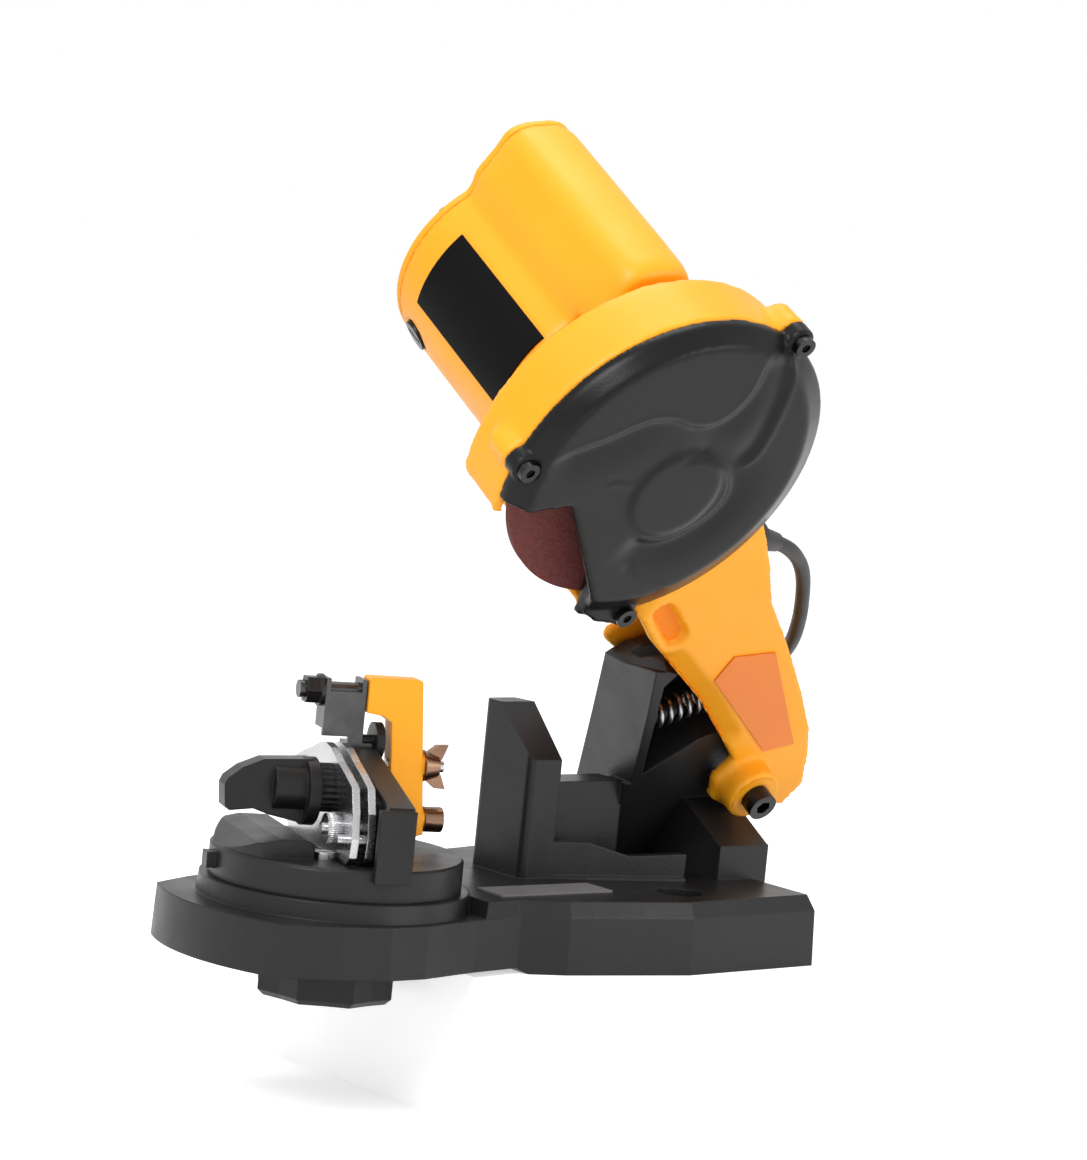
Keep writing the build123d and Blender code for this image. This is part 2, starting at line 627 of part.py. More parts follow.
def motorHousing():
    cap_face = motor_rear + cap_thick
    hump = Rot(0, 0, hump_dir) * prism(humpOutline(), cap_face, -26.5)
    hump = chamfer(hump.edges().group_by(Axis.Z)[-1].sort_by(Axis.Y)[-5:], 2.0)
    hump = hump - coneBetween(-33.0, motor_r + 1.3, guard_rear, guard_r - 4.7) - rod(motor_r + 1.3, motor_front, -30)
    hollow = Rot(0, 0, hump_dir) * prism(humpOutline(-2.6), cap_face - 1, motor_front - 3)
    spigot_in = motor_r - motor_wall - 2
    spigot = tube(motor_r - motor_wall - 0.1, spigot_in, motor_front - 2, -34.0)
    spigot = spigot + tube(motor_r - 1, spigot_in, motor_front - 2, motor_front)
    body = rod(motor_r, cap_face, motor_front) + hump - hollow
    body = body - rod(motor_r - motor_wall, motor_rear, motor_front + 1) + spigot
    seam = Rot(0, 0, hump_dir) * (prism(humpOutline(1), -61.4, -60.6) - prism(humpOutline(-0.5), -62, -60))
    body = body - (seam - rod(motor_r + 1, -70, -50))
    for angle in brush_angles:
        body = body - Rot(0, 0, angle) * Pos(motor_r - 6, 0, brush_z) * Rot(0, 90, 0) * Cylinder(5.52, 16)
    for angle in (150.0, 330.0):
        x, y = polar(cap_screw_ring, angle)
        body = body + (rod(3.6, cap_face, cap_face + 12, x, y) - rod(1.5, cap_face - 1, cap_face + 10, x, y))
    return body


keep("motor_housing", on_wheel * motorHousing())


def endCap():
    body = rod(motor_r, motor_rear, motor_rear + cap_thick)
    body = body + Rot(0, 0, hump_dir) * prism(humpOutline(), motor_rear, motor_rear + cap_thick)
    body = chamfer(body.edges().group_by(Axis.Z)[0], 1.2)
    body = body + tube(10.5, 8.02, motor_rear + cap_thick - 0.1, motor_rear + 7)
    for k in range(10):
        body = body - Rot(0, 0, 36 * k + 24) * block((14.0, 27.0), (-1.6, 1.6), (motor_rear - 1, motor_rear + 9))
    for angle in (150.0, 330.0):
        body = body - rod(1.8, motor_rear - 1, motor_rear + 9, *polar(cap_screw_ring, angle))
    return body - Rot(0, 0, hump_dir) * block((41.98, 55.02), (-7.02, 7.02), (motor_rear - 1, motor_rear + 9))


keep("motor_end_cap", on_wheel * endCap())
cap_screws = []
for angle in (150.0, 330.0):
    x, y = polar(cap_screw_ring, angle)
    cap_screws.append(rod(1.48, motor_rear, motor_rear + 12, x, y) + rod(3.2, motor_rear - 1.8, motor_rear, x, y))
keep("cap_screws", on_wheel * Compound(cap_screws))
keep("stator_pack", on_wheel * tube(motor_r - motor_wall, 18.2, -82.0, -52.0))

across = Pos(0, 0, brush_z) * Rot(0, 90, 0)
brushes, holders, caps = [], [], []
for angle in brush_angles:
    turned = Rot(0, 0, angle)
    brushes.append(turned * block((11.1, 24.0), (-3.0, 3.0), (brush_z - 3, brush_z + 3)))
    holders.append(turned * across * (rod(5.5, 14.0, motor_r - cap_deep) - Pos(0, 0, 20) * Box(6.04, 6.04, 40)))
    cap = across * rod(5.5, motor_r - cap_deep, motor_r + 0.4)
    caps.append(turned * (cap - block((motor_r - 0.8, motor_r + 2), (-0.7, 0.7), (brush_z - 4, brush_z + 4))))
keep("carbon_brushes", on_wheel * Compound(brushes))
keep("brush_holders", on_wheel * Compound(holders))
keep("brush_caps", on_wheel * Compound(caps))

panel_wedge = prism([(0, 0), polar(70, 149.0), polar(70, 171.5), polar(70, 194.0)], -95.0, -39.0)
keep("motor_panel", on_wheel * (tube(motor_r + 0.7, motor_r, -95.0, -39.0) & panel_wedge))

# ---- switch in the end of the hump
switch_axis = Rot(0, 0, hump_dir) * Pos(48.5, 0, motor_rear + 1.6)
rocker_r = 5.2
well = switch_axis * Rot(90, 0, 0) * Cylinder(rocker_r + 0.3, 11.0)
switch_body = Rot(0, 0, hump_dir) * block((42.0, 55.0), (-7.0, 7.0), (motor_rear, motor_rear + 14)) - well
axle_hole = switch_axis * Rot(90, 0, 0) * Cylinder(1.0 + running_gap, 20)
rocker = switch_axis * Rot(90, 0, 0) * (Cylinder(rocker_r, 10.4) + Cylinder(1.0, 12.8))
rocker = rocker - Rot(0, 0, hump_dir) * (Pos(48.5, 0, motor_rear - 8.6) * Rot(90, 0, 0) * Cylinder(8.2, 10.5))
keep("switch_body", on_wheel * (switch_body - axle_hole))
keep("rocker", on_wheel * rocker)

# ---- arm panel, pivot and spring
panel_side = [(-41.0, 47.5), (-38.0, 58.5), (-20.0, 60.6), (14.5, 17.6), (2.0, 14.0)]
keep("arm_panel", head_place * prism(panel_side, cheek_front[1], cheek_front[1] + 0.6))
bushes = [tube(bush_r, pivot_r + running_gap, cheek_front[0], boss_front),
          tube(bush_r, pivot_r + running_gap, cheek_rear[0] - 2, cheek_rear[1])]
keep("pivot_bushes", head_place * Compound(bushes))
washers = [tube(11.0, pivot_r + 0.02, lug_front, cheek_front[0] - 0.05),
           tube(11.0, pivot_r + 0.02, cheek_rear[1] + 0.05, lug_rear)]
keep("thrust_washers", head_place * Compound(washers))
bolt_end = cheek_rear[0] - 11.0
bolt = rod(pivot_r, bolt_end, boss_front + 0.1) + rod(bolt_head_r, boss_front + 0.1, boss_front + 6)
keep("pivot_bolt", head_place * (bolt - hexPrism(bolt_socket_r, boss_front + 2.6, boss_front + 7)))
pivot_nut = hexPrism(8.6, bolt_end + 1.2, cheek_rear[0] - 2.1)
keep("pivot_nut", head_place * (pivot_nut - rod(pivot_r + 0.02, -70, 0)))
keep("return_spring", head_place * spring_place * tube(5.0, 3.8, 0.0, spring_line.length))

# =========================== cord ===========================
sleeve = rod(4.5, -3.0, 6.1) + rod(6.4, 6.0, 8.6) + coneBetween(8.5, 4.8, 22.8, cord_r + 0.7)
keep("cord_grommet", head_place * grommet_place * (sleeve - rod(cord_r + 0.01, 18.0, 30.0)))


def cordTube(points):
    """Tube of straight runs joined by arcs that touch them."""
    points = [Vector(*p) for p in points]
    runs = [(b - a) for a, b in zip(points, points[1:])]
    radii = []
    for a, b in zip(runs, runs[1:]):
        half_turn = math.radians(a.get_angle(b)) / 2
        radii.append(0.45 * min(a.length, b.length) / math.tan(half_turn))
    path = FilletPolyline(*points, radius=radii)
    section = Plane(origin=points[0], z_dir=runs[0]) * Circle(cord_r)
    solid = sweep(section, path=path)
    expected = math.pi * cord_r ** 2 * path.length
    print("cord radii", [round(r, 1) for r in radii], "length", round(path.length, 1))
    print("cord volume over section times length", round(solid.volume / expected, 4))
    return solid


hand_over = Vector(208.4, 23.0, 83.9)
hand_over_along = Vector(4.4, 10.0, -14.6)
lead_head = [grommet_from + grommet_along * 18.05, grommet_from + grommet_along * 28.0, Vector(-13.0, 88.5, -14.0),
             Vector(-2.6, 79.0, -16.4), Vector(7.0, 66.0, -19.2), Vector(16.5, 51.0, -22.5), Vector(25.0, 36.0, -27.5)]
lead = [headPoint(*p) for p in lead_head] + [hand_over - hand_over_along, hand_over]
keep("cord_lead", cordTube(lead))
ring_out = coil_mid_r + coil_turns_wide * cord_r
ring_in = coil_mid_r - coil_turns_wide * cord_r
lie = cord_r + 0.05
coil_height = 2 * cord_r * coil_layers
drop = [hand_over, hand_over + hand_over_along * 0.7, (212.0, 36.5, 60.0), (210.6, 36.7, 44.9), (204.6, 35.2, 33.1),
        (197.0, 39.0, 22.4), (188.1, 46.5, 15.7), (180.2, 56.6, coil_height + lie)]
keep("cord", cordTube(drop))
keep("cord_coil", Pos(coil_x, coil_y, 0) * tube(ring_out, ring_in, 0.0, coil_height))
tie_box = block((-5.0, 5.0), (ring_in - 1.2, ring_out + 1.2), (0.0, coil_height + 1.2))
tie = tie_box - tube(ring_out + 0.02, ring_in - 0.02, -1.0, coil_height + 0.02)
keep("coil_tie", Pos(coil_x, coil_y, 0) * Rot(0, 0, -25) * tie)
plug_x = coil_x + 17.0
plug_y = coil_y + 48.6
plug_z = 7.05
tail = [(coil_x - 37.9, coil_y + 21.9, lie), (coil_x - 30.9, coil_y + 34.0, lie),
        (coil_x - 20.7, coil_y + 42.0, lie + 1.2), (coil_x - 8.2, coil_y + 47.2, 5.6),
        (coil_x + 5.0, plug_y, plug_z), (plug_x, plug_y, plug_z)]
keep("cord_tail", cordTube(tail))
plug_place = Plane(origin=(plug_x, plug_y, plug_z), x_dir=(0, 1, 0), z_dir=(1, 0, 0)).location


def plugBody():
    relief = coneBetween(0.05, cord_r + 0.8, 24.0, 5.4)
    shoulder = loft([Pos(0, 0, 23.9) * Circle(6.4).face(), Pos(0, 0, 32.0) * SlotOverall(34, 14).face()])
    shell = Pos(0, 0, 31.9) * extrude(SlotOverall(34, 14), amount=20)
    return relief + shoulder + shell


pins = [rod(2.0, 51.9, 70.9, side * 9.5, 0) for side in (-1, 1)]
keep("plug", plug_place * plugBody())
keep("plug_pins", plug_place * Compound(pins))


def seat(shape):
    return Pos(-bolt_x, 0, 0) * shape


os.makedirs("parts", exist_ok=True)
for name, shape in parts.items():
    export_step(seat(shape), f"parts/{name}.step")
print(len(parts), "nodes")
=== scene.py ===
import json
import math
import bmesh
import bpy
import numpy as np
from mathutils import Matrix, Vector


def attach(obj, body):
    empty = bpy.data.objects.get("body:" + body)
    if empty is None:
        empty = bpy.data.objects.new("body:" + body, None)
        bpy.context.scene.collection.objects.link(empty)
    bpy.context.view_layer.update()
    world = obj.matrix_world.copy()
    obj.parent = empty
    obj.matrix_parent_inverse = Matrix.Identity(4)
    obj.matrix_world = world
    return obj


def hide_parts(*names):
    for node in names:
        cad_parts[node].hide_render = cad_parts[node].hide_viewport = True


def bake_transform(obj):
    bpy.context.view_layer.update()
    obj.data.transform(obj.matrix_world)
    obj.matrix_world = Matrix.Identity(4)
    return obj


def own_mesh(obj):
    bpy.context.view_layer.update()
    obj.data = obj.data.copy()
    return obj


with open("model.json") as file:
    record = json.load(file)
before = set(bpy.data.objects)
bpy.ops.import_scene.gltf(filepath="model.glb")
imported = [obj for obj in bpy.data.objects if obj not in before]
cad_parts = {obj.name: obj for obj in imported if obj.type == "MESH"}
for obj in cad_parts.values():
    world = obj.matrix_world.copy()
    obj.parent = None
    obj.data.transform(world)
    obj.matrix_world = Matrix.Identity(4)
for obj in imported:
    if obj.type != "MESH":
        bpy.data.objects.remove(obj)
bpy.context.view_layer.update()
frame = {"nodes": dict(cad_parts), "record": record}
nodes = frame["nodes"]
print("frame loaded,", len(nodes), "nodes")

millimetre = 0.001
boltX = 0.122  # from the part's own origin to the frame's
tilt = math.radians(32)  # lean of the head towards the user
pivot = Vector((0.1692 - boltX, -0.0086, 0.0621))
towardsUser = Vector((0, -math.cos(tilt), -math.sin(tilt)))
upSlope = Vector((0, -math.sin(tilt), math.cos(tilt)))


def headPoint(x, y, z):
    # millimetres across, up the slope and towards the user
    return pivot + (Vector((1, 0, 0)) * x + upSlope * y + towardsUser * z) * millimetre


def addObject(name, data):
    obj = bpy.data.objects.new(name, data)
    bpy.context.collection.objects.link(obj)
    return obj


# camera: angles in degrees, lens and sensor in millimetres, the rest in metres
view = {"azimuth": -39.84, "elevation": 5.79, "roll": 5.6, "distance": 1.54069, "right": 0.07318,
        "up": 0.12694, "lens": 141.35, "sensor": 36, "clip": (0.05, 20)}


def makeCamera(v):
    a, e, r = (math.radians(v[k]) for k in ("azimuth", "elevation", "roll"))
    back = Vector((math.sin(a) * math.cos(e), -math.cos(a) * math.cos(e), math.sin(e)))
    side = Vector((math.cos(a), math.sin(a), 0))
    up = back.cross(side)
    right = math.cos(r) * side + math.sin(r) * up
    top = -math.sin(r) * side + math.cos(r) * up
    data = bpy.data.cameras.new("camera")
    data.lens = v["lens"]
    data.sensor_width = v["sensor"]
    data.clip_start, data.clip_end = v["clip"]
    cam = addObject("camera", data)
    place = Matrix((right, top, back)).transposed().to_4x4()
    place.translation = back * v["distance"] + right * v["right"] + top * v["up"] - Vector((boltX, 0, 0))
    cam.matrix_world = place
    bpy.context.scene.camera = cam


makeCamera(view)
print("camera")


# materials: noise scales per metre, lengths in metres
grainScale = {"cloud": 14.0, "gloss": 60.0, "streak": 2600.0, "metalCloud": 40.0, "grit": 1500.0,
              "dust": 500.0}
relief = {"bumpDepth": 0.0004, "edgeSamples": 4}


class Shader:  # adds nodes to one material
    def __init__(self, name):
        self.material = bpy.data.materials.new(name)
        self.material.use_nodes = True
        self.tree = self.material.node_tree
        self.tree.nodes.clear()
        self.out = self.add("OutputMaterial")
        self.coords = self.add("TexCoord").outputs["Object"]

    def add(self, kind, **settings):
        node = self.tree.nodes.new("ShaderNode" + kind)
        for key, value in settings.items():
            setattr(node, key, value)
        return node

    def link(self, source, target):
        self.tree.links.new(source, target)

    def noise(self, scale, detail=3.0, roughness=0.55):
        node = self.add("TexNoise")
        node.inputs["Scale"].default_value = scale
        node.inputs["Detail"].default_value = detail
        node.inputs["Roughness"].default_value = roughness
        self.link(self.coords, node.inputs["Vector"])
        return node.outputs["Fac"]

    def spread(self, value, low=0.0, high=1.0, fromLow=0.3, fromHigh=0.7):
        node = self.add("MapRange")
        self.link(value, node.inputs["Value"])
        ends = {"From Min": fromLow, "From Max": fromHigh, "To Min": low, "To Max": high}
        for key, number in ends.items():
            node.inputs[key].default_value = number
        return node.outputs["Result"]

    def mix(self, factor, a, b):
        node = self.add("Mix", data_type="RGBA")
        self.link(factor, node.inputs["Factor"])
        for socket, value in ((node.inputs["A"], a), (node.inputs["B"], b)):
            if isinstance(value, tuple):
                socket.default_value = (*value, 1)
            else:
                self.link(value, socket)
        return node.outputs["Result"]

    def surface(self, colour, roughness, metallic=0.0, bump=None, strength=0.2, edge=0.0, specular=0.5):
        body = self.add("BsdfPrincipled")
        self.link(colour, body.inputs["Base Color"])
        self.link(roughness, body.inputs["Roughness"])
        body.inputs["Metallic"].default_value = metallic
        body.inputs["Specular IOR Level"].default_value = specular
        normal = None
        if edge:
            rounded = self.add("Bevel", samples=relief["edgeSamples"])
            rounded.inputs["Radius"].default_value = edge
            normal = rounded.outputs["Normal"]
        if bump is not None:
            node = self.add("Bump")
            node.inputs["Strength"].default_value = strength
            node.inputs["Distance"].default_value = relief["bumpDepth"]
            self.link(bump, node.inputs["Height"])
            if normal:
                self.link(normal, node.inputs["Normal"])
            normal = node.outputs["Normal"]
        if normal:
            self.link(normal, body.inputs["Normal"])
        self.link(body.outputs["BSDF"], self.out.inputs["Surface"])
        return self.material


def plastic(name, dark, light, rough, grain=900.0, strength=0.12, edge=0.0009, specular=0.5):
    s = Shader(name)
    colour = s.mix(s.spread(s.noise(grainScale["cloud"], detail=2.0)), dark, light)
    fine = s.noise(grain, detail=2.0, roughness=0.6)
    roughness = s.spread(s.noise(grainScale["gloss"]), *rough)
    return s.surface(colour, roughness, bump=fine, strength=strength, edge=edge, specular=specular)


def metal(name, dark, light, rough, strength=0.012, edge=0.0004):
    s = Shader(name)
    streak = s.noise(grainScale["streak"], detail=2.0, roughness=0.5)
    colour = s.mix(s.spread(s.noise(grainScale["metalCloud"])), dark, light)
    roughness = s.spread(streak, *rough)
    return s.surface(colour, roughness, metallic=1.0, bump=streak, strength=strength, edge=edge)


wheelFace = {"grain": (0.19, 0.038, 0.030), "gap": (0.10, 0.019, 0.016), "reach": 0.6,
             "rough": (0.75, 0.95), "strength": 0.5}


def abrasive(v):
    s = Shader("abrasive")
    grit = s.add("TexVoronoi", feature="F1")
    grit.inputs["Scale"].default_value = grainScale["grit"]
    s.link(s.coords, grit.inputs["Vector"])
    distance = grit.outputs["Distance"]
    colour = s.mix(s.spread(distance, fromLow=0.0, fromHigh=v["reach"]), v["grain"], v["gap"])
    roughness = s.spread(s.noise(grainScale["dust"]), *v["rough"])
    return s.surface(colour, roughness, bump=distance, strength=v["strength"])


# each finish has a dark and a light tone and the ends of its roughness
yellow = plastic("yellowPlastic", (0.93, 0.365, 0.008), (1.0, 0.405, 0.012), (0.40, 0.50),
                 strength=0.06, specular=0.35)
# darker orange with painted shade of the slot's recess, used for the slot floor
paintedShadeYellow = plastic("paintedShadeYellow", (0.80, 0.20, 0.006), (0.88, 0.25, 0.008), (0.5, 0.6),
                       strength=0.05, specular=0.2)
charcoal = plastic("charcoalPlastic", (0.0085, 0.0085, 0.009), (0.0125, 0.0125, 0.013), (0.30, 0.42),
                   grain=1400.0, strength=0.15, specular=0.27)
coverPlastic = plastic("coverPlastic", (0.0055, 0.0055, 0.0058), (0.008, 0.008, 0.0084), (0.27, 0.36),
                       grain=1400.0, strength=0.1, specular=0.17)
darkPlastic = plastic("darkPlastic", (0.006, 0.006, 0.0065), (0.009, 0.009, 0.0095), (0.28, 0.38),
                      specular=0.25)
panelBlack = plastic("panelBlack", (0.002, 0.002, 0.0021), (0.003, 0.003, 0.0031), (0.5, 0.58),
                     strength=0.02, edge=0.0003, specular=0.07)
labelGrey = plastic("labelGrey", (0.13, 0.13, 0.132), (0.18, 0.18, 0.182), (0.3, 0.38),
                    strength=0.02, edge=0.0003)
labelOrange = plastic("labelOrange", (0.78, 0.19, 0.008), (0.84, 0.22, 0.01), (0.28, 0.36),
                      strength=0.02, edge=0.0003, specular=0.35)
rubber = plastic("cordRubber", (0.010, 0.010, 0.011), (0.015, 0.015, 0.016), (0.42, 0.54),
                 strength=0.06, edge=0.0004, specular=0.35)
steel = metal("zincSteel", (0.42, 0.42, 0.43), (0.54, 0.54, 0.55), (0.22, 0.29))
pressedSteel = metal("pressedSteel", (0.05, 0.05, 0.052), (0.11, 0.11, 0.113), (0.26, 0.36))
darkSteel = metal("darkSteel", (0.16, 0.16, 0.17), (0.26, 0.26, 0.27), (0.3, 0.45))
springSteel = metal("springSteel", (0.34, 0.34, 0.35), (0.46, 0.46, 0.47), (0.24, 0.34))
blackScrew = metal("blackScrew", (0.03, 0.03, 0.032), (0.05, 0.05, 0.052), (0.28, 0.4))
coatedScrew = metal("coatedScrew", (0.15, 0.085, 0.055), (0.27, 0.16, 0.105), (0.2, 0.3))
copper = metal("copper", (0.72, 0.33, 0.16), (0.86, 0.44, 0.24), (0.25, 0.4))
brass = metal("plugBrass", (0.75, 0.62, 0.32), (0.86, 0.74, 0.42), (0.2, 0.3))
redGloss = plastic("rockerRed", (0.3, 0.012, 0.012), (0.36, 0.016, 0.014), (0.16, 0.22), strength=0.03)
wheelGrit = abrasive(wheelFace)

finish = {  # by material slot
    "yellow_plastic": yellow, "black_plastic": charcoal, "steel": steel, "lamination": darkSteel,
    "copper": copper, "plug_brass": brass, "abrasive": wheelGrit, "carbon": darkPlastic,
    "cord_rubber": rubber, "panel": panelBlack, "rocker_red": redGloss,
}
special = {  # pieces that differ from their slot
    "cover_screws": blackScrew, "cap_screws": blackScrew, "pivot_bolt": blackScrew,
    "stop_pin_nut": blackScrew, "clamp_knob": darkPlastic, "clamp_collar": darkPlastic,
    "lock_knob": darkPlastic, "stop_knob": darkPlastic, "brush_caps": darkPlastic,
    "guard_cover": coverPlastic, "stop_upright": pressedSteel, "stop_pin": pressedSteel,
    "label_plate": labelGrey, "arm_panel": labelOrange, "wing_nut": coatedScrew,
    "lever_set_screw": coatedScrew,
}
slotOf = {part["node"]: part["material_slot"] for part in frame["record"]["subparts"]}


def materialOf(name):
    return special.get(name) or finish[slotOf[name]]


for name, obj in nodes.items():
    obj.data.materials.clear()
    obj.data.materials.append(materialOf(name))
print("materials")


# moulded shells: even copies of the castings, softened where they are round
acrossHead = np.array((1.0, 0.0, 0.0))
upHead = np.array(upSlope)
outHead = np.array(towardsUser)
wheelCentre = (-117.5, 138.5)  # millimetres across the head and up its slope


def readPoints(mesh):
    points = np.empty(len(mesh.vertices) * 3)
    mesh.vertices.foreach_get("co", points)
    return points.reshape(-1, 3)


def writePoints(obj, points):
    obj.data.vertices.foreach_set("co", points.ravel())
    obj.data.update()


def readNormals(mesh):
    normals = np.empty(len(mesh.vertices) * 3)
    mesh.vertices.foreach_get("normal", normals)
    return normals.reshape(-1, 3)


def readEdges(mesh):
    edges = np.empty(len(mesh.edges) * 2, dtype=np.int64)
    mesh.edges.foreach_get("vertices", edges)
    return edges.reshape(-1, 2)


def inHead(points):
    # metres in the frame to millimetres in the head: across, up the slope, towards the user
    local = (points - np.array(pivot)) / millimetre
    return local @ acrossHead, local @ upHead, local @ outHead


def fromPoint(x, y, centre):
    return np.hypot(x - centre[0], y - centre[1])


def smoothStep(value, low, high):
    # 0 before low, 1 after high
    t = np.clip((value - low) / (high - low), 0.0, 1.0)
    return t * t * (3 - 2 * t)


def relaxed(points, edges, passes, weight, keptAxis=None, pull=0.6):
    # points drawn towards their neighbours, but not along the kept axis
    a, b = edges[:, 0], edges[:, 1]
    n = len(points)
    count = np.maximum(np.bincount(a, minlength=n) + np.bincount(b, minlength=n), 1)
    for step in range(passes):
        total = [np.bincount(a, points[b, k], n) + np.bincount(b, points[a, k], n) for k in range(3)]
        move = (np.stack(total, 1) / count[:, None] - points) * weight[:, None] * pull
        if keptAxis is not None:
            move -= np.outer(move @ keptAxis, keptAxis)
        points = points + move
    return points


def asMesh(obj):
    evaluated = obj.evaluated_get(bpy.context.evaluated_depsgraph_get())
    mesh = bpy.data.meshes.new_from_object(evaluated)
    obj.modifiers.clear()
    obj.data = mesh
    return mesh


def smoothShaded(mesh):
    mesh.polygons.foreach_set("use_smooth", [True] * len(mesh.polygons))


def evenCopy(name, node, voxel):
    # closed copy of a CAD piece with even small faces, and its edges and points
    obj = addObject(name, nodes[node].data.copy())
    remesh = obj.modifiers.new("remesh", "REMESH")
    remesh.mode = "VOXEL"
    remesh.voxel_size = voxel
    mesh = asMesh(obj)
    smoothShaded(mesh)
    return obj, readEdges(mesh), readPoints(mesh)


def standFor(obj, body, *names):
    obj.data.materials.clear()
    obj.data.materials.append(materialOf(names[0]))
    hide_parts(*names)
    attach(obj, body)


# voxels in metres; pairs are where an effect comes in, in millimetres from the wheel's axis or along it
motorShell = {"voxel": 0.0011, "capVoxel": 0.0008, "passes": 40, "nosePasses": 12, "hump": (36.6, 38.6),
              "nose": (-46.0, -38.0)}


def makeMotorShell(v):
    obj, edges, points = evenCopy("motorShell", "motor_housing", v["voxel"])
    x, y, z = inHead(points)
    hump = smoothStep(fromPoint(x, y, wheelCentre), *v["hump"])
    points = relaxed(points, edges, v["passes"], hump, outHead)
    points = relaxed(points, edges, v["nosePasses"], hump * smoothStep(z, *v["nose"]))
    writePoints(obj, points)
    standFor(obj, "head", "motor_housing")


def makeCapShell(v):
    obj, edges, points = evenCopy("capShell", "motor_end_cap", v["capVoxel"])
    x, y, z = inHead(points)
    hump = smoothStep(fromPoint(x, y, wheelCentre), *v["hump"])
    writePoints(obj, relaxed(points, edges, v["passes"], hump, outHead))
    standFor(obj, "head", "motor_end_cap")


makeMotorShell(motorShell)
makeCapShell(motorShell)
print("motor shell")


def lineDistance(x, y, line):
    # distance to a line of straight runs, positive on its left, and how far along it the nearest point lies
    best = np.full(len(x), 1e9)
    side = np.ones(len(x))
    along = np.zeros(len(x))
    lengths = [math.dist(p, q) for p, q in zip(line, line[1:])]
    start = 0.0
    for (x0, y0), (x1, y1), length in zip(line, line[1:], lengths):
        ux, uy = (x1 - x0) / length, (y1 - y0) / length
        t = np.clip((x - x0) * ux + (y - y0) * uy, 0, length)
        dx, dy = x - x0 - t * ux, y - y0 - t * uy
        d = np.hypot(dx, dy)
        nearer = d < best
        best = np.where(nearer, d, best)
        side = np.where(nearer, np.sign(ux * dy - uy * dx), side)
        along = np.where(nearer, (start + t) / sum(lengths), along)
        start += length
    return best, side, along


slotFloor = {"centre": (-75.0, 72.0), "turn": -42.0, "long": 26.0, "wide": 10.5, "low": 1.05,
             "high": 2.45, "bend": 12}
bossLip = {"inner": 5.6, "outer": 9.0, "low": 14.01, "high": 14.09, "sides": 64}

# the seats of cover and motor stay flat; next to the wheel the arm's front face rolls back to its edge
armShell = {
    "voxel": 0.0013, "passes": 7, "settle": 3,
    "coverSeat": (52, 56), "coverSide": (-1, 1),
    "motorSeat": (39.5, 41), "motorSide": (33, 35),
    "bush": (8.0, 9.0), "boss": (14, 20), "slot": (12, 19), "front": (3.0, 3.6),
    "rollWide": 7.5, "rollDeep": 3.4,
    "edge": [(-96.4, 80.9), (-78.4, 64.1), (-39.7, 36.6), (-20.7, 20.0)],
}


def makeArmShell(v):
    obj, edges, points = evenCopy("armShell", "arm_housing", v["voxel"])
    x, y, z = inHead(points)
    around = fromPoint(x, y, wheelCentre)
    coverSeat = smoothStep(around, *v["coverSeat"]) * smoothStep(z, *v["coverSide"])
    motorSeat = (1 - smoothStep(around, *v["motorSeat"])) * smoothStep(-z, *v["motorSide"])
    free = np.clip(1 - coverSeat - motorSeat, 0, 1) * smoothStep(np.hypot(x, y), *v["bush"])
    points = relaxed(points, edges, v["passes"], free)
    x, y, z = inHead(points)
    distance, side, along = lineDistance(x, y, v["edge"])
    front = smoothStep(z, *v["front"]) * smoothStep(np.hypot(x, y), *v["boss"])
    front *= smoothStep(fromPoint(x, y, slotFloor["centre"]), *v["slot"])
    sink = front * np.clip(1 - distance / v["rollWide"], 0, 1) * v["rollDeep"]
    points -= np.outer(sink, outHead) * millimetre
    writePoints(obj, relaxed(points, edges, v["settle"], free))
    standFor(obj, "head", "arm_housing")


def closedPiece(name, corners, faces, material):
    mesh = bpy.data.meshes.new(name)
    mesh.from_pydata([tuple(c) for c in corners], [], faces)
    work = bmesh.new()
    work.from_mesh(mesh)
    bmesh.ops.recalc_face_normals(work, faces=work.faces)
    work.to_mesh(mesh)
    work.free()
    mesh.materials.append(material)
    return addObject(name, mesh)


def makeBossLip(v):
    # thin lip of the boss over the end of its bush
    profile = [(v["inner"], v["low"]), (v["outer"], v["low"]),
               (v["outer"], v["high"]), (v["inner"], v["high"])]
    corners, faces = [], []
    for k in range(v["sides"]):
        angle = 2 * math.pi * k / v["sides"]
        corners += [headPoint(r * math.cos(angle), r * math.sin(angle), z) for r, z in profile]
        a, b = 4 * k, 4 * ((k + 1) % v["sides"])
        faces += [(a + i, b + i, b + (i + 1) % 4, a + (i + 1) % 4) for i in range(4)]
    obj = closedPiece("bossLip", corners, faces, yellow)
    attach(obj, "head")


def makeSlotFloor(v):
    # floor of the arm's slot, too thin for the even copy to hold; its darker orange is painted shade of the
    # recess
    half, radius = v["long"] / 2 - v["wide"] / 2, v["wide"] / 2
    turn = math.radians(v["turn"])
    rim = []
    for end, start in ((1, -90), (-1, 90)):
        for k in range(v["bend"] + 1):
            angle = math.radians(start + 180 * k / v["bend"])
            x, y = end * half + radius * math.cos(angle), radius * math.sin(angle)
            rim.append((v["centre"][0] + x * math.cos(turn) - y * math.sin(turn),
                        v["centre"][1] + x * math.sin(turn) + y * math.cos(turn)))
    corners = [headPoint(x, y, z) for z in (v["low"], v["high"]) for x, y in rim]
    n = len(rim)
    faces = [tuple(range(n)), tuple(range(n, 2 * n))]
    faces += [(k, (k + 1) % n, n + (k + 1) % n, n + k) for k in range(n)]
    obj = closedPiece("slotFloor", corners, faces, paintedShadeYellow)
    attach(obj, "head")


makeArmShell(armShell)
makeBossLip(bossLip)
makeSlotFloor(slotFloor)
print("arm shell")

